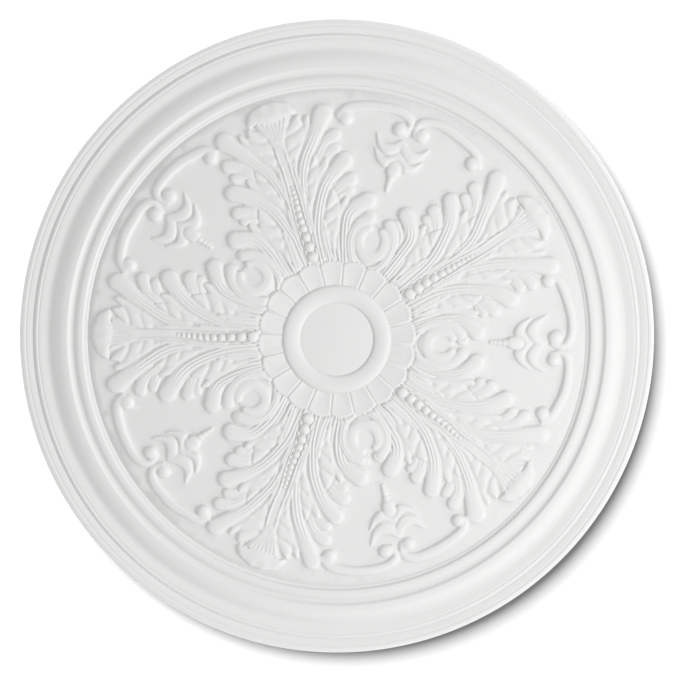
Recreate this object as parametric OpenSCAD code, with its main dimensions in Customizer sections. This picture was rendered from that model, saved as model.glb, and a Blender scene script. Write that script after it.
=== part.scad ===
// Ceiling rose: one white casting, round, domed, with five acanthus leaves.
// It is drawn face up on its flat back, and turned over at the end as it hangs
// from a ceiling: the back lies in the plane z = 0 and the carving faces down.

/* [Rose] */
// Outer diameter
rose_d = 700; // [580:10:860]
// Height of the plain upright edge above the back
edge_h = 4; // [2:0.5:10]
// Rise of the domed field from the ring mouldings to the centre boss
dome_rise = 33; // [20:1:46]

/* [Ring mouldings, from the edge inwards] */
// Radius of the rounded outer edge
edge_round = 7; // [4:0.5:9]
// Width of the outer fillet
outer_fillet_w = 9; // [5:0.5:14]
// Width and height of the small rounded step between the two fillets
step_size = 4; // [2:0.5:6]
// Width of the inner fillet
inner_fillet_w = 7; // [4:0.5:12]
// Width of the cove
cove_w = 16; // [10:1:22]
// Height of the cove
cove_h = 10; // [6:1:12]
// Half width of the outer bead moulding
outer_bead_r = 7; // [5:0.5:9]
// Half width of the inner bead moulding
inner_bead_r = 9; // [6:0.5:12]

/* [Centre boss] */
// Radius of the flat disc in the middle
disc_r = 42; // [30:1:50]
// Half width of the raised ring round the disc
boss_ring_r = 8.5; // [6:0.5:10]
// Height of the raised ring above the petals
boss_ring_h = 3.5; // [2:0.5:5]
// Radius of the scalloped outline of the petals
petal_reach = 86.5; // [78:0.5:96]
// Height of the petals above the field at their edge
petal_h = 2.5; // [1.5:0.5:4]
// Number of petals
petals = 20; // [16:1:24]
// Radius of the rounded end of a petal
petal_end_r = 18; // [15:1:24]

/* [Acanthus leaves] */
// Height of the lobes of a leaf above the field
leaf_h = 3.5; // [2:0.5:6]
// Half width of a leaf at its widest lobes
leaf_half_w = 86; // [66:1:88]
// Gap between the tip of a leaf and the ring mouldings
leaf_tip_gap = 5; // [2:1:15]
// Half width of the smooth middle rib
rib_half_w = 7; // [5:0.5:9]
// Height of the rib above the field
rib_h = 5; // [3:0.5:7]
// Half width of the turned-over tip of a leaf
cap_half_w = 27; // [22:1:30]
// Length of the turned-over tip
cap_len = 30; // [22:1:34]
// Height of the turned-over tip above the field
cap_h = 9.5; // [5:0.5:10]
// Diameter of the bead next to the boss
bead_d = 12; // [8:0.5:14]
// Number of beads on a rib
beads = 8; // [4:1:9]

/* [Scrolls and husks] */
// Radius of the C scrolls
scroll_r = 5.5; // [4:0.5:7]
// Radius of the ball ends of the scrolls
ball_r = 9; // [6:0.5:10]
// Radius of the curl between two leaves
volute_r = 5.5; // [4:0.5:7]
// Height of the scrolls and husks above the field
scroll_h = 4.5; // [2:0.5:6]
// Half width of a husk
husk_half_w = 29; // [20:1:34]

/* [Back] */
// Depth of the shallow recess that leaves the gluing lands
recess_d = 3; // [1:0.5:3.5]
// Width of the land round the edge
rim_land_w = 32; // [20:1:45]
// Radius of the land in the middle
hub_land_r = 55; // [40:1:80]
// Width of a rib on the back
back_rib_w = 12; // [6:1:20]

/* [Hidden] */
plaster = "#e6e6e6";
round_fn = 180;
// The five leaves were set out by hand, so their directions aren't quite even
leaf_dirs = [33, 106.5, 179, 250.5, 321.5];
gap_dirs = [for (i = [0 : 4]) (leaf_dirs[i] + leaf_dirs[(i + 1) % 5] + (i == 4 ? 360 : 0)) / 2];

// Direction of one of the grooves between petals
seam_phase = 13;

// Radii and heights of the ring mouldings, worked out from the edge inwards
rose_r = rose_d / 2;
fillet_out_r = rose_r - edge_round;
fillet_out_h = edge_h + edge_round;
step_out_r = fillet_out_r - outer_fillet_w;
step_in_r = step_out_r - step_size;
fillet_in_h = fillet_out_h + step_size;
cove_out_r = step_in_r - inner_fillet_w;
cove_in_r = cove_out_r - cove_w;
cove_top_h = fillet_in_h + cove_h;
// Radius of the cove's arc, which runs level into the inner fillet
cove_arc_r = (pow(cove_w, 2) + pow(cove_h, 2)) / (2 * cove_h);
outer_bead_c = cove_in_r - outer_bead_r + 0.5;
inner_bead_c = outer_bead_c - outer_bead_r - inner_bead_r + 0.5;
inner_bead_h = cove_top_h;
field_r = inner_bead_c - 0.9 * inner_bead_r;
field_edge_h = inner_bead_h + 4;

// The field is part of one sphere, through the foot of the mouldings and the boss
boss_h = field_edge_h + dome_rise;
sphere_z = (pow(petal_reach, 2) - pow(field_r, 2) + pow(boss_h, 2) - pow(field_edge_h, 2)) / (2 * dome_rise);
sphere_r = norm([field_r, field_edge_h - sphere_z]);
function field_h(x, y) = sphere_z + sqrt(pow(sphere_r, 2) - x * x - y * y);

function arc(cx, cy, r, from, to, steps) = [for (i = [0 : steps])
    let (a = from + (to - from) * i / steps) [cx + r * cos(a), cy + r * sin(a)]];
function mix(a, b, t) = a + (b - a) * t;
function quad_bezier(a, b, c, t) = mix(mix(a, b, t), mix(b, c, t), t);
// A smooth run through the points p, at place t from 0 to 1
function run(p, t) = let (
        spans = len(p) - 1, i = min(floor(t * spans), spans - 1), u = t * spans - i,
        a = p[max(i - 1, 0)], b = p[i], c = p[i + 1], d = p[min(i + 2, spans)])
    0.5 * (2 * b + (c - a) * u + (2 * a - 5 * b + 4 * c - d) * u * u + (3 * b - a - 3 * c + d) * u * u * u);

module ring_mouldings() {
    rotate_extrude($fn = round_fn) polygon(concat(
        [[field_r - 30, 0], [rose_r, 0], [rose_r, edge_h]],
        arc(fillet_out_r, edge_h, edge_round, 10, 90, 8),
        [[step_out_r, fillet_out_h - 0.3]],
        arc(step_in_r, fillet_out_h, step_size, 15, 90, 6),
        arc(cove_out_r, fillet_in_h + cove_arc_r, cove_arc_r, 270,
            270 - asin(cove_w / cove_arc_r), 8),
        arc(outer_bead_c, cove_top_h - 2, outer_bead_r, 25, 160, 10),
        arc(inner_bead_c, inner_bead_h, inner_bead_r, 15, 155, 12),
        [[field_r - 6, field_edge_h - 3], [field_r - 30, field_edge_h - 3]]));
}

// The field's sphere made larger by an offset. Its poles lie level, away from the carving
module field_sphere(offset) {
    translate([0, 0, sphere_z]) rotate([90, 0, 0]) sphere(r = sphere_r + offset, $fn = round_fn);
}

module domed_field() {
    intersection() {
        field_sphere(0);
        cylinder(r = field_r, h = boss_h + dome_rise, $fn = round_fn);
    }
}

// Scalloped plan of the petals: each has a rounded end, and they meet on a smaller circle
module petal_ring() {
    steps = 6;
    half_angle = 180 / petals;
    petal_c = petal_reach - petal_end_r;
    end_angle = half_angle + asin(petal_c * sin(half_angle) / petal_end_r);
    translate([0, 0, field_edge_h]) linear_extrude(height = boss_h + petal_h - field_edge_h)
        polygon([for (i = [0 : petals - 1], k = [0 : steps - 1])
            let (way = seam_phase + (2 * i + 1) * half_angle, a = end_angle * (2 * k / steps - 1))
            petal_c * [cos(way), sin(way)] + petal_end_r * [cos(way + a), sin(way + a)]]);
}

module centre_disc() {
    rotate_extrude($fn = round_fn) polygon(concat(
        [[0, field_edge_h], [disc_r + 2 * boss_ring_r, field_edge_h],
        [disc_r + 2 * boss_ring_r, boss_h + petal_h - 0.2]],
        [for (i = [0 : 12]) let (a = 180 * i / 12)
            [disc_r + boss_ring_r + boss_ring_r * cos(a), boss_h + petal_h - 0.2 + (boss_ring_h + 0.2) * sin(a)]],
        [[0, boss_h + petal_h - 0.2]]));
}

// One leaf lies along +x in these numbers, from the boss to its tip.
leaf_reach = field_r - leaf_tip_gap;
leaf_start = petal_reach - 8;
leaf_len = leaf_reach - leaf_start;
leaf_floor = field_edge_h - 8;
// The lobes of one side from the boss outwards: place of the tip along the leaf and across
// it, and half width of the rounded end; all shares
lobes = [
    [0.125, 0.70, 0.095], [0.210, 0.88, 0.105], [0.310, 0.985, 0.125],
    [0.350, 0.71, 0.090], [0.445, 0.82, 0.110], [0.555, 0.82, 0.130],
    [0.595, 0.57, 0.080], [0.665, 0.72, 0.090], [0.755, 0.77, 0.110],
    [0.885, 0.65, 0.140], [0.885, 0.42, 0.060], [0.920, 0.28, 0.075]];
lobe_count = len(lobes);
rib_share = rib_half_w / leaf_half_w;

function leaf_at(along, across) = [leaf_start + along * leaf_len, across * leaf_half_w];
function lobe_tip(i) = leaf_at(lobes[i][0], lobes[i][1]);
function lobe_root(i) = [leaf_start + 0.72 * leaf_len * pow(i / lobe_count, 1.1), 0.5 * rib_half_w];
// A lobe leaves the rib nearly along it and sweeps outwards
function bend_of(r, e) = [mix(r[0], e[0], 0.62), mix(r[1], e[1], 0.30)];
function lobe_line(i, t) = quad_bezier(lobe_root(i), bend_of(lobe_root(i), lobe_tip(i)), lobe_tip(i), t);
// The way the lobe is heading at place t, as a unit vector, and the way to its right
function lobe_way(i, t) = let (d = lobe_line(i, t) - lobe_line(i, t - 0.1)) d / norm(d);
function right_of(d) = [d[1], -d[0]];
// Plan of the outer half of a lobe, a stem that widens towards its rounded end
function lobe_plan(i) = let (
        w = lobes[i][2] * leaf_half_w, end = lobe_way(i, 1), c = lobe_tip(i) - w * end,
        stem = [for (u = [0.5, 0.7, 0.9])
            [lobe_line(i, u), mix(0.3, 0.9, u) * w * right_of(lobe_way(i, u))]])
    concat([for (p = stem) p[0] - p[1]],
        [for (a = [-75 : 50 : 75]) c + w * (cos(a) * end + sin(a) * right_of(end))],
        [for (k = [len(stem) - 1 : -1 : 0]) stem[k][0] + stem[k][1]]);
function mirrored(p) = [for (i = [len(p) - 1 : -1 : 0]) [p[i][0], -p[i][1]]];

// A plate of the given plan, its top a set height above the field
module raised(height) {
    intersection() {
        translate([0, 0, leaf_floor]) linear_extrude(height = boss_h) children();
        field_sphere(height);
    }
}

module both_sides(plan) {
    polygon(plan);
    polygon(mirrored(plan));
}

// The whole leaf in plan: the web between the lobes, then the lobes
module leaf_plan() {
    both_sides(concat([leaf_at(0, -0.01), leaf_at(0, 0.36)],
        [for (i = [0 : lobe_count - 1]) lobe_line(i, 0.66)], [leaf_at(0.86, -0.01)]));
    for (i = [0 : lobe_count - 1]) both_sides(lobe_plan(i));
}

// The leaf's tip turns over towards the viewer, in a scalloped cap at the end of its rib
module cap_plan() {
    steps = 24;
    front = 2 / 3 * cap_len;
    polygon([for (i = [0 : steps - 1]) let (a = 360 * i / steps, s = 1 + 0.02 * cos(5 * a))
        [leaf_reach - front + s * (cos(a) > 0 ? front : cap_len - front) * cos(a), s * cap_half_w * sin(a)]]);
}

module rib_plan() {
    polygon([leaf_at(0, rib_share), leaf_at(0.62, rib_share), leaf_at(0.93, 0.18),
        leaf_at(0.93, -0.18), leaf_at(0.62, -rib_share), leaf_at(0, -rib_share)]);
}

module bead_row() {
    // Each bead is a set share smaller than the one before it, and a little clear of it
    shrink = 0.905;
    clear = 0.46;
    for (i = [0 : beads - 1]) {
        d = bead_d * pow(shrink, i);
        x = petal_reach + 1 + bead_d * (1 - pow(shrink, i + 0.5)) / (1 - shrink);
        translate([x, 0, field_h(x, 0) + 0.7 * rib_h]) rotate([90, 0, 0]) sphere(r = clear * d, $fn = 24);
    }
}

// Plan of a band along the points p, widest in the middle of its length
function band(p, half_w, steps) = let (
        line = [for (k = [0 : steps]) let (t = k / steps, d = run(p, min(t + 0.01, 1)) - run(p, max(t - 0.01, 0)))
            [run(p, t), half_w * (0.75 + 0.25 * sin(180 * t)) * right_of(d / norm(d))]])
    concat([for (l = line) l[0] - l[1]], [for (k = [steps : -1 : 0]) line[k][0] + line[k][1]]);

// A C scroll lies close inside the ring mouldings, its outer end curled under beside a leaf
scroll_out = field_r - 13;
scroll_span = 20;
scroll_line = concat([[scroll_out - 15, 7], [scroll_out - 5, 9]],
    [for (a = [5.5 : 3.2 : scroll_span - 3]) scroll_out * [cos(a), sin(a)]],
    [(scroll_out - 8) * [cos(scroll_span), sin(scroll_span)]]);
scroll_balls = [[scroll_out - 21, 13],
    (scroll_out - 17) * [cos(scroll_span - 1.2), sin(scroll_span - 1.2)]];

// A horseshoe curl closes the space between the feet of two leaves
volute_c = petal_reach + 25;
volute_line = [for (a = [-140 : 35 : 140]) [volute_c - 18 * cos(a), 14.5 * sin(a)]];

// A husk is two tiers of pointed petals and a bud, hanging towards the boss
husk_top = scroll_out - 30;
husk_tier_gap = 13;
bud_len = 30;
function husk_tier(from, half_w, drop, length) = [[from, -0.01], [from - drop, half_w],
    [from - drop - 0.45 * length, 0.62 * half_w], [from - length, 0.3 * half_w], [from - length, -0.01]];

module gap_plan() {
    both_sides(band(scroll_line, scroll_r, 12));
    for (c = scroll_balls, side = [-1, 1]) translate([c[0], side * c[1]]) circle(r = ball_r, $fn = 14);
    polygon(band(volute_line, volute_r, 14));
    both_sides(husk_tier(husk_top, husk_half_w, 5, 20));
    both_sides(husk_tier(husk_top - husk_tier_gap, 0.8 * husk_half_w, 11, 22));
    both_sides([[husk_top - bud_len, -0.01], [husk_top - bud_len, 0.3 * husk_half_w],
        [husk_top - 1.5 * bud_len, 0.22 * husk_half_w], [husk_top - 1.9 * bud_len, -0.01]]);
}

// The back: a shallow ring-shaped recess leaves a land round the edge, one in the middle and ribs
module back_recess() {
    land_in_r = rose_r - rim_land_w;
    difference() {
        translate([0, 0, -1]) cylinder(r = land_in_r, h = recess_d + 1, $fn = round_fn);
        translate([0, 0, -2]) cylinder(r = hub_land_r, h = recess_d + 3, $fn = round_fn);
        for (i = [0 : 4])
            rotate(gap_dirs[i]) translate([0, -back_rib_w / 2, -2])
                cube([rose_r, back_rib_w, recess_d + 3]);
    }
}

module face_up_rose() {
    difference() {
        union() {
            ring_mouldings();
            domed_field();
            petal_ring();
            centre_disc();
            for (i = [0 : 4]) {
                rotate(leaf_dirs[i]) {
                    raised(leaf_h) leaf_plan();
                    raised(cap_h) cap_plan();
                    raised(rib_h) rib_plan();
                    bead_row();
                }
                rotate(gap_dirs[i]) raised(scroll_h) gap_plan();
            }
        }
        back_recess();
    }
}

module ceiling_rose() {
    color(plaster) rotate([180, 0, 0]) face_up_rose();
}

ceiling_rose();
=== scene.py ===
"""Looks of a domed ceiling rose: one white casting with acanthus leaves, husks and ring mouldings.

Lengths in the carving are millimetres, drawn face up: x to the right, y up and h out of the
ceiling. The mesh is turned over at the end, as the rose hangs with its face down."""

import math

import bpy
import numpy as np
from mathutils import Matrix, Vector
from mathutils.geometry import tessellate_polygon


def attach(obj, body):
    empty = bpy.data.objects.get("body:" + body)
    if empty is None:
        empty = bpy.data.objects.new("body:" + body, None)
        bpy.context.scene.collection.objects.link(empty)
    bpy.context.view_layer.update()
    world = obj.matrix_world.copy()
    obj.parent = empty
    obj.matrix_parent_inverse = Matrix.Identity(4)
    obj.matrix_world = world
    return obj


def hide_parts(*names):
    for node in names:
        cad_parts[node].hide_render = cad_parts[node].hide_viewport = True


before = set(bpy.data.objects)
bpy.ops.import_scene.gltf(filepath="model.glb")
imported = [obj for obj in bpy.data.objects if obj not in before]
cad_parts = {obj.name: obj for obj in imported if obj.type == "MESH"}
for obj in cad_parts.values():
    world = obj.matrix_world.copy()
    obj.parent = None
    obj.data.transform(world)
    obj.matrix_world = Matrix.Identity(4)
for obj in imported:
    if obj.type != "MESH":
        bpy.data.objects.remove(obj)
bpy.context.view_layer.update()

# ---------------------------------------------------------------------------------------
# Grid. The whole face is one height over a round plan, as a casting out of an open mould is.
# Rings lie closest where the carving is, and every ring has the same number of points.

turns = 1440
spacing = 1.0
rose_r = 350.0


def rings(start, end, step):
    """Radii from one radius up to another, about a step apart."""
    count = max(2, round((end - start) / (step * spacing)))
    return list(np.linspace(start, end, count, endpoint=False))


ring_r = np.array(
    rings(1.5, 38, 4) + rings(38, 61, 0.7) + rings(61, 80, 1.2) + rings(80, 274, 0.88)
    + rings(274, 306, 0.8) + rings(306, 328, 1.1) + rings(328, 335, 0.45)
    + rings(335, 342, 1.2) + rings(342, 349.6, 0.6) + [349.7, 349.9, rose_r]
)
turn = np.arange(turns) * 2 * math.pi / turns
R, A = np.meshgrid(ring_r, turn, indexing="ij")
X, Y = R * np.cos(A), R * np.sin(A)


def smooth(edge0, edge1, x):
    """Rises from 0 to 1 between two values of x, level at both ends."""
    t = np.clip((x - edge0) / (edge1 - edge0), 0, 1)
    return t * t * (3 - 2 * t)


# ---------------------------------------------------------------------------------------
# Dome and ring mouldings. A shallow dome runs from the boss to two ovolos with a fillet between
# them, then a cove falls to two plain steps and the rounded edge that meets the ceiling.

rise, boss_r, boss_h, foot_r, foot_h = 33, 86.5, 62, 276.9, 29
dome_z = (boss_r**2 - foot_r**2 + boss_h**2 - foot_h**2) / (2 * rise)
dome_r = math.hypot(foot_r, foot_h - dome_z)
dome = dome_z + np.sqrt(dome_r**2 - R**2)


def bent(start, end, bulge):
    """Height between two corners: a straight line that an ovolo bends out and a cove in."""
    t = np.clip((R - start[0]) / (end[0] - start[0]), 0, 1)
    line = start[1] + (end[1] - start[1]) * t
    return line + bulge * 4 * t * (1 - t)


# Radius and height of the corners at both ends of each moulding, and how far it bulges
mouldings = (
    ((272.4, 28.2), (273.8, 29.3), 0.0),
    ((273.8, 29.3), (277.2, 29.9), 0.5),
    ((277.2, 29.9), (278.8, 32.2), 0.2),
    ((278.8, 32.2), (281.2, 32.4), 0.4),
    ((281.2, 32.4), (289.0, 27.8), 1.2),
    ((289.0, 27.8), (293.6, 27.4), 0.0),
    ((293.6, 27.4), (295.4, 29.4), 0.2),
    ((295.4, 29.4), (298.2, 29.4), 0.4),
    ((298.2, 29.4), (306.0, 25.6), 0.7),
    ((306.0, 25.6), (313.0, 18.2), 0.2),
    ((313.0, 18.2), (320.5, 15.2), -0.9),
    ((320.5, 15.2), (329.2, 15.0), 0.0),
)
field_end, step_start = mouldings[0][0][0], mouldings[-1][1][0]
height = np.where(R < field_end, dome, 0)
for start, end, bulge in mouldings:
    height = np.where((R >= start[0]) & (R < end[0]), bent(start, end, bulge), height)

step_w, fillet_h, edge_start = 4.2, 11.0, 343.2
edge_w, edge_h = 6.8, 4
step_fall = np.clip(R - step_start, 0, step_w) / step_w
edge_fall = np.clip(R - edge_start, 0, edge_w) / edge_w
step = fillet_h + 4.0 * np.sqrt(np.clip(1 - step_fall**2, 0, None))
edge = edge_h + 7 * np.sqrt(np.clip(1 - edge_fall**2, 0, None))
height = np.where(R >= step_start, step, height)
height = np.where(R > step_start + step_w, fillet_h, height)
height = np.where(R > edge_start, edge, height)
for groove_r, deep, wide in ((329.2, 0.7, 0.7), (334.2, 0.5, 0.8), (342.9, 0.6, 0.7)):
    height -= deep * np.exp(-(((R - groove_r) / wide) ** 2))

# ---------------------------------------------------------------------------------------
# Boss. A plain disc inside a rounded ring, and twenty flat petals whose round ends make a
# scalloped edge. Each petal has a fine lip, and a cut line parts it from the next.

petal_turn, petal_first, boss_top = 18.0, 13.2, 64.0
from_seam = (np.degrees(A) - petal_first + petal_turn / 2) % petal_turn - petal_turn / 2
from_middle = (np.degrees(A) - petal_first) % petal_turn - petal_turn / 2
petal_c, petal_end = 68.5, 18.0
across = np.radians(from_middle)
petal_edge = petal_c * np.cos(across) + np.sqrt(petal_end**2 - (petal_c * np.sin(across)) ** 2)
seam_mm = np.abs(np.radians(from_seam)) * R
lip_mm = np.minimum(petal_edge - R, seam_mm * 1.1)
petals = 64.3 + 0.35 * np.exp(-(((lip_mm - 2.1) / 1.1) ** 2)) - 0.5 * smooth(3, 9, lip_mm)
petals -= 1.0 * np.exp(-((seam_mm / 0.7) ** 2)) * smooth(58, 61, R)
on_petals = smooth(1.1, -1.1, R - petal_edge)
height = np.where(R < boss_r + 3.5, dome + (petals - dome) * on_petals, height)
height -= 0.9 * np.exp(-(((R - petal_edge - 1.6) / 1.1) ** 2))

ring_in, ring_crest, ring_out = 40.0, 50.6, 59.2
inner_side = (ring_crest - R) / (ring_crest - ring_in)
outer_side = (R - ring_crest) / (ring_out - ring_crest)
side = np.where(R < ring_crest, inner_side, outer_side)
boss_ring = boss_top + 3.9 * np.sqrt(np.clip(1 - side**2, 0, None))
height = np.where(np.abs(side) < 1, boss_ring, height)
height = np.where(R <= ring_in, boss_top + 0.4, height)
for groove_r in (ring_in, ring_out):
    height -= 0.7 * np.exp(-(((R - groove_r) / 0.9) ** 2))

# ---------------------------------------------------------------------------------------
# Leaves. Five acanthus leaves, cast in one with the dome, reach from the boss almost to the
# mouldings; fluted stems swell into spoon-shaped lobes, with folds and lesser lobes between.

leaf_dirs = (31.5, 106.6, 178.8, 250.6, 321.3)
gap_dirs = (70.0, 142.8, 214.8, 286.0, 357.3)
# Carved by hand, so no two leaves are quite alike
warp_x = X + 0.9 * np.sin(Y / 21 + 1.1) * np.cos(X / 27) + 0.5 * np.sin((X + Y) / 11)
warp_y = Y + 0.9 * np.sin(X / 19 + 2.3) * np.cos(Y / 24) + 0.5 * np.sin((X - 2 * Y) / 13)


def local(directions):
    """Distance to the side of the nearest of these lines from the centre, and along it."""
    away = np.stack([(np.degrees(A) - d + 180) % 360 - 180 for d in directions])
    nearest = np.argmin(np.abs(away), axis=0)
    way = np.radians(np.array(directions)[nearest])
    return (np.abs(warp_y * np.cos(way) - warp_x * np.sin(way)),
            warp_x * np.cos(way) + warp_y * np.sin(way))


def curve(points, count=22):
    """A smooth line through the points."""
    p = np.array([points[0]] + list(points) + [points[-1]], float)
    out = []
    for t in np.linspace(0, len(points) - 1, count):
        i = min(int(t), len(points) - 2)
        u = t - i
        a, b, c, d = p[i : i + 4]
        square, cube = 2 * a - 5 * b + 4 * c - d, 3 * b - a - 3 * c + d
        out.append(0.5 * (2 * b + (c - a) * u + square * u**2 + cube * u**3))
    return np.array(out)


def near_line(where, x, y, line, reach):
    """Points near a line: their index, share along it, distance from it, and side of it."""
    lo, hi = line.min(axis=0) - reach, line.max(axis=0) + reach
    pick = np.flatnonzero((x > lo[0]) & (x < hi[0]) & (y > lo[1]) & (y < hi[1]) & where)
    px, py = x[pick], y[pick]
    best = np.full(len(pick), 1e9)
    share, left = np.zeros(len(pick)), np.zeros(len(pick))
    for k in range(len(line) - 1):
        (ax, ay), (bx, by) = line[k], line[k + 1]
        dx, dy = bx - ax, by - ay
        t = np.clip(((px - ax) * dx + (py - ay) * dy) / (dx * dx + dy * dy), 0, 1)
        ex, ey = px - ax - t * dx, py - ay - t * dy
        d2 = ex * ex + ey * ey
        closer = d2 < best
        best = np.where(closer, d2, best)
        share = np.where(closer, (k + t) / (len(line) - 1), share)
        left = np.where(closer, np.sign(dx * ey - dy * ex), left)
    return pick, share, np.sqrt(best), left


class Carving:
    """Ridges carved side by side: the highest one wins, and outside them all is the gap."""

    def __init__(self, x, y, where):
        self.x, self.y, self.where = x.ravel(), y.ravel(), where.ravel()
        self.h = np.zeros(self.x.size)
        self.outside = np.full(self.x.size, 50.0)

    def ridge(self, points, widths, heights, step=0.36, flutes=0.0, pitch=3.3, power=2.5):
        """A ridge along a line, its half width and height changing from start to end."""
        line = curve(points)
        stops = np.linspace(0, 1, len(widths))
        pick, share, d, left = near_line(self.where, self.x, self.y, line, max(widths) + 6)
        w = np.interp(share, stops, widths)
        top = np.interp(share, np.linspace(0, 1, len(heights)), heights)
        q = d / w
        h = top * (step + (1 - step) * np.sqrt(np.clip(1 - q**power, 0, None)))
        if flutes:
            wave = 0.5 - 0.5 * np.cos(2 * math.pi * d * left / pitch)
            h -= flutes * wave * smooth(0.92, 0.6, share)
        self.h[pick] = np.where(q < 1, np.maximum(self.h[pick], h), self.h[pick])
        self.outside[pick] = np.minimum(self.outside[pick], d - w)

    def over(self, under):
        """This carving laid over another height, which sinks a little round its outline."""
        sunk = under - 1.3 * np.exp(-((np.clip(self.outside, 0, None) / 1.6) ** 2)) * (under > 0.2)
        return np.where(self.outside < 0, np.maximum(self.h, 0.35 * under), sunk)


leaf_x, leaf_y = local(leaf_dirs)
field = (R > 80) & (R < 273.5)

# Lowest of all are the web and the lesser lobes, which rise out from under the folds
lesser = Carving(leaf_x, leaf_y, field)
for points, widths in (
    ([(34, 80), (40, 104), (56, 126), (66, 134)], (8, 11, 9, 6)),
    ([(10, 84), (15, 122), (34, 155), (50, 176)], (7, 14, 15, 9)),
    ([(6, 110), (9, 160), (24, 200), (44, 226)], (5, 10, 17, 9)),
    ([(6, 200), (16, 228), (22, 236)], (7, 10, 8)),
):
    lesser.ridge(points, widths, (2.8, 3.0, 2.6), step=0.75)
for points, widths, top in (
    ([(20, 174), (32, 194), (46, 209), (61, 214)], (2.4, 4.4, 6.2, 7.2), 4.8),
    ([(27, 176), (38, 190), (48, 198), (57, 200)], (2.4, 4, 5.4, 5.8), 4.2),
    ([(26, 140), (36, 152), (50, 160), (64, 163)], (2.8, 4.8, 6.6, 7.4), 5.0),
    ([(31, 138), (41, 147), (52, 151), (60, 152)], (2.6, 4, 5.2, 5.6), 4.4),
    ([(46, 98), (53, 109), (62, 115), (72, 117)], (3, 5, 6.6, 7.2), 5.0),
):
    lesser.ridge(points, widths, (0.68 * top, 0.9 * top, top), flutes=1.1, pitch=3.8)

# Folds lie over them like scales, and each group of folds ends in a point by the next stem
folds = Carving(leaf_x, leaf_y, field)
for points, widths, top in (
    ([(9, 188), (12, 212)], (3, 5.4), 4.0),
    ([(11, 200), (16, 224)], (4, 8), 4.5),
    ([(14, 210), (21, 229), (27, 245)], (8, 11, 2.4), 5.2),
    ([(26, 220), (33, 231), (38, 241)], (6, 5.5, 2.5), 4.6),
    ([(12, 144), (15, 164)], (3, 6), 4.2),
    ([(14, 152), (20, 175)], (4, 9), 4.6),
    ([(18, 160), (24.5, 182), (31.5, 201)], (8, 12, 2.4), 5.3),
    ([(33, 172), (39, 183), (44, 192)], (6, 5.6, 2.6), 4.8),
    ([(25, 98), (28, 120)], (3, 6), 4.2),
    ([(27, 108), (33, 132)], (4, 9), 4.6),
    ([(31, 118), (37, 140), (42.5, 157)], (8, 11.5, 2.4), 5.3),
    ([(44, 124), (50, 136), (55, 145)], (6, 5.6, 2.6), 4.8),
):
    folds.ridge(points, widths, (0.7 * top, top), step=0.42)
for across_fold, deep in (
    ([(24, 138), (36, 140), (46, 145)], 1.9),
    ([(23, 122), (36, 127)], 1.5),
    ([(12, 183), (24, 185), (35, 190)], 1.9),
    ([(11, 167), (25, 172)], 1.5),
    ([(8, 227), (19, 229), (30, 234)], 1.9),
    ([(7, 211), (20, 216)], 1.5),
):
    pick, _, d, _ = near_line(folds.where, folds.x, folds.y, curve(across_fold), 6)
    folds.h[pick] -= deep * np.exp(-((d / 2.3) ** 2)) * (folds.h[pick] > 1)

# The great stems run over all of these; each leaves the rib fluted and swells into a lobe
stems = Carving(leaf_x, leaf_y, field)
tip_stem = [(7.5, 120), (9, 150), (14, 178), (26, 202), (42, 223), (56, 240)]
middle_stem = [(10.5, 84), (12, 100), (14.5, 118), (20, 136), (28, 152), (40, 168), (53, 179), (63, 185)]
foot_stem = [(33, 78), (36, 90), (39.5, 102), (45, 115), (52, 126), (62, 132), (75, 135)]
for points, widths in (
    (tip_stem, (2.6, 3.8, 5.2, 6.6, 8.2, 10.4)),
    (middle_stem, (4, 4.8, 5.4, 6, 6.6, 7.6, 8.8, 9.4)),
    (foot_stem, (4, 4.8, 5.6, 6.4, 7.2, 8.6, 9.4)),
):
    stems.ridge(points, widths, (4.0, 5.2, 5.8), flutes=2.2, pitch=3.7)
relief = stems.over(folds.over(lesser.h))

# Pipes run down from the eyes, the small hollows at the feet of the folds
pipes = Carving(leaf_x, leaf_y, field)
for points in (
    [(9, 190), (8.4, 176), (8.4, 140)],
    [(11.5, 148), (10.4, 130), (9.2, 104)],
    [(26.5, 104), (25, 96), (23, 84)],
    [(19, 118), (17.5, 100), (17, 84)],
    [(23, 128), (21.5, 106), (20, 84)],
):
    pipes.ridge(points, (2.2, 1.9, 1.6), (4.2, 4.0, 3.8), step=0.6)
relief = np.maximum(relief, pipes.h)
for x, y in ((9.3, 200), (12.3, 157), (26.5, 113)):
    d = np.hypot((pipes.x - x) * 1.2, (pipes.y - y) * 0.8)
    relief -= 2.2 * np.exp(-((d / 2.6) ** 2)) * (relief > 0.5)

# The rib: a smooth strip between two fine fillets, with a row of beads sunk in its lower part
rib_x, rib_y = pipes.x, pipes.y
half = np.interp(rib_y, [84, 176, 220, 248], [6.6, 4.6, 5.2, 19.0])
rib_on = pipes.where & (rib_y < 249)
strip = 3.0 - 0.6 * (rib_x / half) ** 2
fillet = 5.2 * np.exp(-(((rib_x - half) / 1.0) ** 4)) * smooth(236, 214, rib_y)
relief = np.where(rib_on & (rib_x < half), np.where(rib_y < 214, strip, np.maximum(strip, 0)), relief)
relief = np.where(rib_on, np.maximum(relief, fillet), relief)
bead_y, bead_pitch = 87.2, 12.3
for _ in range(11):
    bead_y += bead_pitch / 2
    bead_r, pit_r = 0.53 * bead_pitch, 0.5 * bead_pitch + 1.1
    d2 = rib_x**2 + (rib_y - bead_y) ** 2
    bead = 2.0 + np.sqrt(np.clip(bead_r**2 - d2, 0, None))
    relief = np.where(pipes.where & (d2 < pit_r**2), np.minimum(relief, 1.4), relief)
    relief = np.where(pipes.where & (d2 < bead_r**2), np.maximum(relief, bead), relief)
    bead_y += bead_pitch / 2 + 0.15
    bead_pitch *= 0.905

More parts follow.
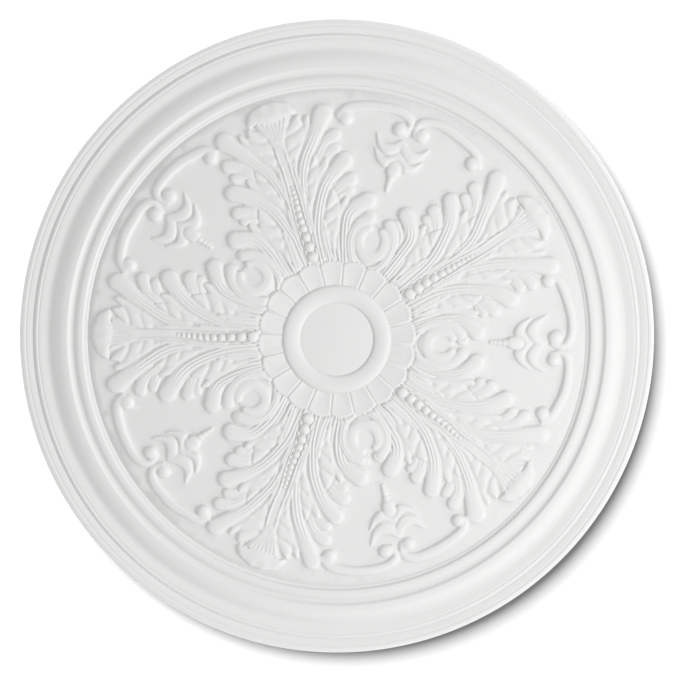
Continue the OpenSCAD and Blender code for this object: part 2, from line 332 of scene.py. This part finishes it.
# Flutes fan out above the beads and run in under the leaf's turned-over tip
fan = smooth(212, 226, rib_y) * rib_on * (rib_x < half)
flute = 2.2 + 2.4 * np.abs(np.cos(math.pi * 4 * rib_x / half)) ** 0.7 - smooth(0.8, 1.0, rib_x / half)
relief += (flute - relief) * fan

cap_y, cap_half_w, cap_len = 250.5, 27.2, 18.0
lip_y = 248.5 - 1.2 * np.cos(rib_x / 27 * math.pi * 1.5) * (rib_x < 24)
scallop = 1 + 0.02 * np.cos(10 * np.arctan2(rib_y - 249, rib_x))
out_x, out_y = rib_x / (cap_half_w * scallop), (rib_y - cap_y) / (cap_len * scallop)
cap_q = np.sqrt(out_x**2 + np.clip(out_y, 0, None) ** 2)
cap_q = np.where(rib_y < cap_y, out_x / np.interp(rib_y, [244, cap_y], [0.72, 1.0]), cap_q)
cap_in = pipes.where & (cap_q < 1) & (rib_y > lip_y)
crown = np.sqrt(np.clip(1 - cap_q**2.2, 0, None))
cap_h = 3.2 + 3.6 * crown * (0.4 + 0.6 * smooth(lip_y - 1, lip_y + 8, rib_y))
cap_h += 0.5 * np.cos(10 * np.arctan2(rib_y - 240, rib_x)) * smooth(0.3, 0.8, cap_q)
relief = np.where(cap_in, cap_h, relief)

# ---------------------------------------------------------------------------------------
# Between the leaves, and cast with them. A horseshoe curl joins the feet of two leaves, two
# C scrolls with ball ends follow the mouldings, and a husk of two tiers points to the boss
# and ends in a bud and four beads.

gap_x, gap_y = local(gap_dirs)
gap = Carving(gap_x, gap_y, field)
horseshoe = [(0, 98), (9.5, 101), (14.6, 110), (13, 121), (7.5, 126)]
outer_curl = [(12, 84), (20, 97), (23.5, 112), (19, 128), (11, 136)]
gap.ridge([(0, 104), (0, 118)], (15, 10), (2.6, 2.2), step=0.7)
gap.ridge(horseshoe, (6.6, 6.6, 6.2, 5.6, 4.4), (4.2, 5.0, 5.0))
gap.ridge(outer_curl, (3.5, 4.6, 5.2, 6.0, 6.2), (4.0, 5.0, 5.4), flutes=0.8)
gap.ridge([(6, 84), (12, 88), (18, 96)], (3, 3, 2.5), (3.4, 3.6))
sunk = np.exp(-((np.clip(gap.outside, 0, None) / 1.3) ** 2)) * (relief > 0.2)
relief = np.maximum(gap.h, relief - sunk)

scrolls = Carving(gap_x, gap_y, field)
band = [(6, 236), (3.4, 246), (8, 253.5), (22, 257), (44, 254.5), (62, 248), (76, 240), (81, 230)]
scrolls.ridge(band, (2.8, 3.6, 4.8, 5.2, 5.6, 5.4, 4.8, 4.0), (3.6, 4.6, 5.0, 5.0, 4.6), step=0.15)
ball_r = 7.8
for x, y in ((12.5, 239.5), (73.5, 230)):
    d2 = (scrolls.x - x) ** 2 + (scrolls.y - y) ** 2
    ball = 0.8 + np.sqrt(np.clip(ball_r**2 - d2, 0, None)) * 0.74
    scrolls.h = np.where(scrolls.where & (d2 < ball_r**2), np.maximum(scrolls.h, ball), scrolls.h)

# Each tier lies over the one before it: the stalk, the wide leaves, the short ones, the bud
husk_x, husk_y = local([d + 1.3 for d in gap_dirs])
husk = np.zeros(R.size)
wide_leaf = [(0.5, 227), (6, 218), (14, 214.5), (23, 218), (31, 228)]
short_leaf = [(0.5, 212), (5, 204), (12, 200.5), (20, 203.5), (28, 212)]
for points, widths, heights in (
    ([(0, 226), (0, 212)], (4, 7), (2.6, 3.2)),
    (wide_leaf, (2.5, 6.5, 7.0, 4.2, 0.9), (2.6, 4.2, 4.6, 3.6, 2.4)),
    (short_leaf, (2.5, 6, 6.4, 3.8, 0.9), (2.8, 4.4, 4.8, 3.8, 2.4)),
    ([(0, 197), (0, 193)], (8.0, 7.6), (5.6, 5.8)),
):
    tier = Carving(husk_x, husk_y, field)
    tier.ridge(points, widths, heights, step=0.25)
    husk = tier.over(husk)
for y, r in ((184.5, 4.3), (178.8, 3.5), (174.0, 2.9), (170.0, 2.3)):
    d2 = tier.x**2 + (tier.y - y) ** 2
    bead = 0.6 + np.sqrt(np.clip(r * r - d2, 0, None))
    husk = np.where(tier.where & (d2 < r * r), np.maximum(husk, bead), husk)
husk = np.maximum(husk, scrolls.h)
relief = np.maximum(relief, husk)

# The carving lies on the dome, its finest edges softened as paint softens them
relief = 0.9 * np.clip(relief, 0, None).reshape(R.shape)
relief *= smooth(80, 86, R)
relief *= (R > petal_edge + 0.6) & (R < 273.5)
relief[1:-1] = (relief[:-2] + 3 * relief[1:-1] + relief[2:]) / 5
relief = (np.roll(relief, 1, axis=1) + 3 * relief + np.roll(relief, -1, axis=1)) / 5
# Nothing stands above the crest of the boss ring; this takes the top off the largest beads
highest = 67.9
height = np.clip(height + relief, 0, highest)

# ---------------------------------------------------------------------------------------
# Back. It lies flat on the ceiling: a land round the edge, one in the middle and five ribs
# take the adhesive, and the shallow pockets between them are left as they come out of the mould.

# The face first, from the middle outwards ring by ring, and the upright edge below it
verts = [(0.0, 0.0, float(height[0].mean()))]
verts += list(zip(X.ravel().tolist(), Y.ravel().tolist(), height.ravel().tolist()))
faces = [(0, 1 + k, 1 + (k + 1) % turns) for k in range(turns)]
for j in range(len(ring_r) - 1):
    a, b = 1 + j * turns, 1 + (j + 1) * turns
    faces += [(a + k, b + k, b + (k + 1) % turns, a + (k + 1) % turns) for k in range(turns)]
rim = 1 + (len(ring_r) - 1) * turns
foot = len(verts)
rim_line = [(rose_r * math.cos(t), rose_r * math.sin(t), 0.0) for t in turn]
verts += rim_line
faces += [(rim + k, foot + k, foot + (k + 1) % turns, rim + (k + 1) % turns) for k in range(turns)]


def pocket(start, end, inset):
    """Outline of one pocket between two ribs, drawn in by an inset."""
    hub_r, land_r, half_rib = 55 + inset, 318 - inset, 6 + inset
    outline = []
    for r, flip, count in ((hub_r, 1, 12), (land_r, -1, 48)):
        a = math.radians(start) + math.asin(half_rib / r)
        b = math.radians(end) - math.asin(half_rib / r)
        outline += [(r * math.cos(t), r * math.sin(t)) for t in np.linspace(a, b, count)[::flip]]
    return outline


pocket_deep, draft = 3.0, 2.0
# The lands are one flat piece with five openings, and each opening is walled and floored
outlines = [[Vector(point) for point in rim_line]]
index = [foot + k for k in range(turns)]
for i in range(5):
    start, end = gap_dirs[i - 1] - (360 if i == 0 else 0), gap_dirs[i]
    top, floor = pocket(start, end, 0), pocket(start, end, draft)
    at, n = len(verts), len(top)
    verts += [(x, y, 0.0) for x, y in top] + [(x, y, pocket_deep) for x, y in floor]
    outlines.append([Vector((x, y, 0)) for x, y in top])
    index += range(at, at + n)
    faces += [(at + k, at + (k + 1) % n, at + n + (k + 1) % n, at + n + k) for k in range(n)]
    flat = tessellate_polygon([[Vector((x, y, 0)) for x, y in floor]])
    faces += [tuple(at + n + k for k in tri) for tri in flat]
faces += [tuple(index[k] for k in tri) for tri in tessellate_polygon(outlines)]

# ---------------------------------------------------------------------------------------
# Mesh of the casting. Built in metres and turned face down, then thinned where it is smooth;
# the shading normals are worked out from the height itself, so the thinning doesn't show.

placed = [(x / 1000, -y / 1000, -h / 1000) for x, y, h in verts]
mesh = bpy.data.meshes.new("ceiling_rose_casting")
mesh.from_pydata(placed, [], faces)
rose = bpy.data.objects.new("ceiling_rose_casting", mesh)
bpy.context.collection.objects.link(rose)
bpy.context.view_layer.objects.active = rose
bpy.ops.object.select_all(action="DESELECT")
rose.select_set(True)
bpy.ops.object.mode_set(mode="EDIT")
bpy.ops.mesh.select_all(action="SELECT")
bpy.ops.mesh.normals_make_consistent(inside=False)
bpy.ops.object.mode_set(mode="OBJECT")
triangles, most_triangles = sum(len(p) - 2 for p in faces), 196000
if triangles > most_triangles:
    thin = rose.modifiers.new("thin", "DECIMATE")
    thin.ratio = most_triangles / triangles
    bpy.ops.object.modifier_apply(modifier="thin")
mesh.set_sharp_from_angle(angle=math.radians(35))
mesh.polygons.foreach_set("use_smooth", np.ones(len(mesh.polygons), bool))

# Slope of the face, and how far each place lies below what is round it
turn_step = turn[1] - turn[0]
slope_r = np.gradient(height, ring_r, axis=0)
slope_a = (np.roll(height, -1, axis=1) - np.roll(height, 1, axis=1)) / (2 * turn_step * R)
slope_x = slope_r * np.cos(A) - slope_a * np.sin(A)
slope_y = slope_r * np.sin(A) + slope_a * np.cos(A)
# The second of these is used only to paint shade into the colour: darker in hollows, lighter on crests
low = height.copy()
for _ in range(6):
    low[1:-1] = (low[:-2] + low[1:-1] + low[2:]) / 3
    low = (np.roll(low, 1, axis=1) + low + np.roll(low, -1, axis=1)) / 3
hollow = np.clip((low - height) / 1.2, -1, 1)


def sample(grid, x, y):
    """Value of a grid of the face at any place, between its four nearest points."""
    r, a = np.hypot(x, y), np.arctan2(y, x) % (2 * math.pi)
    row = np.clip(np.interp(r, ring_r, np.arange(len(ring_r))), 0, len(ring_r) - 1.001)
    col = a / turn_step
    i, k = row.astype(int), col.astype(int) % turns
    u, v = row - i, col - col.astype(int)
    k2 = (k + 1) % turns
    inner = grid[i, k] * (1 - v) + grid[i, k2] * v
    outer = grid[i + 1, k] * (1 - v) + grid[i + 1, k2] * v
    return inner * (1 - u) + outer * u


co = np.empty(len(mesh.vertices) * 3)
mesh.vertices.foreach_get("co", co)
co = co.reshape(-1, 3) * 1000
face_x, face_y = co[:, 0], -co[:, 1]
normal_x, normal_y = -sample(slope_x, face_x, face_y), sample(slope_y, face_x, face_y)
normal = np.stack([normal_x, normal_y, -np.ones(len(co))], axis=1)
normal /= np.linalg.norm(normal, axis=1)[:, None]
corners = np.empty(len(mesh.loops) * 3)
mesh.corner_normals.foreach_get("vector", corners)
corners = corners.reshape(-1, 3)
corner_vert = np.empty(len(mesh.loops), int)
mesh.loops.foreach_get("vertex_index", corner_vert)
plane = np.empty(len(mesh.polygons) * 3)
mesh.polygons.foreach_get("normal", plane)
sizes = np.empty(len(mesh.polygons), int)
mesh.polygons.foreach_get("loop_total", sizes)
faces_down = np.repeat(plane.reshape(-1, 3)[:, 2] < -0.05, sizes)
corners[faces_down] = normal[corner_vert[faces_down]]
mesh.normals_split_custom_set(corners.tolist())

# Painted shade: how far each place lies below what is round it, kept on the mesh so the colour darkens the
# hollows and lightens the crests
painted_shade_hollows = mesh.attributes.new("hollow", "FLOAT", "POINT")
on_face = co[:, 2] < -3.5
painted_shade_hollows.data.foreach_set("value", np.where(on_face, sample(hollow, face_x, face_y), 0).astype(np.float32))
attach(rose, "root")
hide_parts("ceiling_rose")

# ---------------------------------------------------------------------------------------
# Finish. Hard foam out of the mould, sprayed with a matt white primer; the spray leaves a very
# fine orange-peel grain. The white is painted darker in the hollows as painted shade and lighter on the
# crests as painted light, and it varies in broad patches of tone.


class Node:
    """A socket that takes part in sums, so shader maths reads as an expression."""

    def __init__(self, tree, socket):
        self.tree, self.socket = tree, socket

    def make(self, kind, settings=None, output=0, **inputs):
        """A new node: its settings first, then inputs by name, or by number as _0, _1."""
        node = self.tree.nodes.new(kind)
        for key, value in (settings or {}).items():
            setattr(node, key, value)
        for key, value in inputs.items():
            target = node.inputs[int(key[1:]) if key[0] == "_" else key]
            if isinstance(value, Node):
                self.tree.links.new(value.socket, target)
            else:
                target.default_value = value
        return Node(self.tree, node.outputs[output])

    def maths(self, operation, a, b):
        return self.make("ShaderNodeMath", {"operation": operation}, _0=a, _1=b)

    def __add__(self, other):
        return self.maths("ADD", self, other)

    def __radd__(self, other):
        return self.maths("ADD", other, self)

    def __sub__(self, other):
        return self.maths("SUBTRACT", self, other)

    def __rsub__(self, other):
        return self.maths("SUBTRACT", other, self)

    def __mul__(self, other):
        return self.maths("MULTIPLY", self, other)

    def __rmul__(self, other):
        return self.maths("MULTIPLY", other, self)


primer = bpy.data.materials.new("matt_white_primer")
primer.use_nodes = True
tree = primer.node_tree
shader = tree.nodes["Principled BSDF"]
maker = Node(tree, None)
coords = maker.make("ShaderNodeTexCoord", output=3)
patches = maker.make("ShaderNodeTexNoise", Vector=coords, Scale=14.0, Detail=3.0, Roughness=0.5)
grain = maker.make("ShaderNodeTexNoise", Vector=coords, Scale=900.0, Detail=2.0, Roughness=0.6)
depth = maker.make("ShaderNodeAttribute", {"attribute_name": "hollow"}, output=2)
# Painted shade and light: a darker white in the hollows and a lighter one on the crests; the broad patches
# are an uneven tone
tone = 0.5 + 0.42 * depth + 0.25 * (patches - 0.5)
painted_light_white, painted_shade_white = (0.885, 0.885, 0.88, 1), (0.80, 0.80, 0.795, 1)
colour = maker.make("ShaderNodeMix", {"data_type": "RGBA"}, output=2, _0=tone, _6=painted_light_white, _7=painted_shade_white)
tree.links.new(colour.socket, shader.inputs["Base Color"])
dull = 0.56 + 0.12 * (patches - 0.5) + 0.08 * (grain - 0.5)
tree.links.new(dull.socket, shader.inputs["Roughness"])
bump = maker.make("ShaderNodeBump", Strength=0.12, Distance=0.0004, Height=grain)
tree.links.new(bump.socket, shader.inputs["Normal"])
shader.inputs["Specular IOR Level"].default_value = 0.35
mesh.materials.append(primer)

# ---------------------------------------------------------------------------------------
# Ceiling, light and camera. The rose is seen square on from below against a plain white
# ceiling, set back a little so that a soft dark shadow shows at the lower right. The ceiling
# has a lamp of its own, and light on the carving comes from the right.

set_back = 0.014
ceiling_mesh = bpy.data.meshes.new("ceiling")
sheet = [(x, y, set_back) for x, y in ((-2, -2), (-2, 2), (2, 2), (2, -2))]
ceiling_mesh.from_pydata(sheet, [], [(0, 1, 2, 3)])
ceiling = bpy.data.objects.new("ceiling", ceiling_mesh)
bpy.context.collection.objects.link(ceiling)
white = bpy.data.materials.new("ceiling_white")
white.use_nodes = True
tree = white.node_tree
base = Node(tree, None)
behind = base.make("ShaderNodeNewGeometry", output=6)
paint = base.make("ShaderNodeBsdfDiffuse", Color=(0.36, 0.36, 0.36, 1))
clear = base.make("ShaderNodeBsdfTransparent")
shown = base.make("ShaderNodeMixShader", _0=behind, _1=paint, _2=clear)
tree.links.new(shown.socket, tree.nodes["Material Output"].inputs["Surface"])
ceiling_mesh.materials.append(white)
ceiling.visible_shadow = False

world = bpy.data.worlds.new("room")
world.use_nodes = True
world.node_tree.nodes["Background"].inputs["Color"].default_value = (1, 1, 1, 1)
world.node_tree.nodes["Background"].inputs["Strength"].default_value = 0.60
bpy.context.scene.world = world


def sun(name, toward, strength, spread):
    """Light from far away, shining toward a direction; the spread softens its shadows."""
    lamp = bpy.data.lights.new(name, "SUN")
    lamp.energy, lamp.angle = strength, math.radians(spread)
    obj = bpy.data.objects.new(name, lamp)
    obj.rotation_euler = Vector(toward).to_track_quat("-Z", "Y").to_euler()
    bpy.context.collection.objects.link(obj)
    return obj


key = sun("window_light", (-1.12, -0.31, 1.12), 1.44, 26)
wash = sun("ceiling_wash", (0.60, 0.70, 1.0), 13.0, 62)
from_above = sun("light_from_above", (0.3, 0.5, -0.8), 1.0, 30)
for lamp, lit in ((key, rose), (from_above, rose), (wash, ceiling)):
    group = bpy.data.collections.new(lamp.name + "_lights")
    group.objects.link(lit)
    lamp.light_linking.receiver_collection = group

lens = bpy.data.cameras.new("camera")
lens.lens, lens.sensor_width = 290, 36
camera = bpy.data.objects.new("camera", lens)
camera.location = (0.0, -0.3, -6.04)
look = (Vector((0.0035, 0.0040, 0.0)) - camera.location).normalized()
right = (Vector((1, 0, 0)) - look.x * look).normalized()
camera.rotation_mode = "QUATERNION"
camera.rotation_quaternion = Matrix((right, look.cross(-right), -look)).transposed().to_quaternion()
bpy.context.collection.objects.link(camera)
bpy.context.scene.camera = camera
bpy.context.scene.view_settings.view_transform = "Standard"
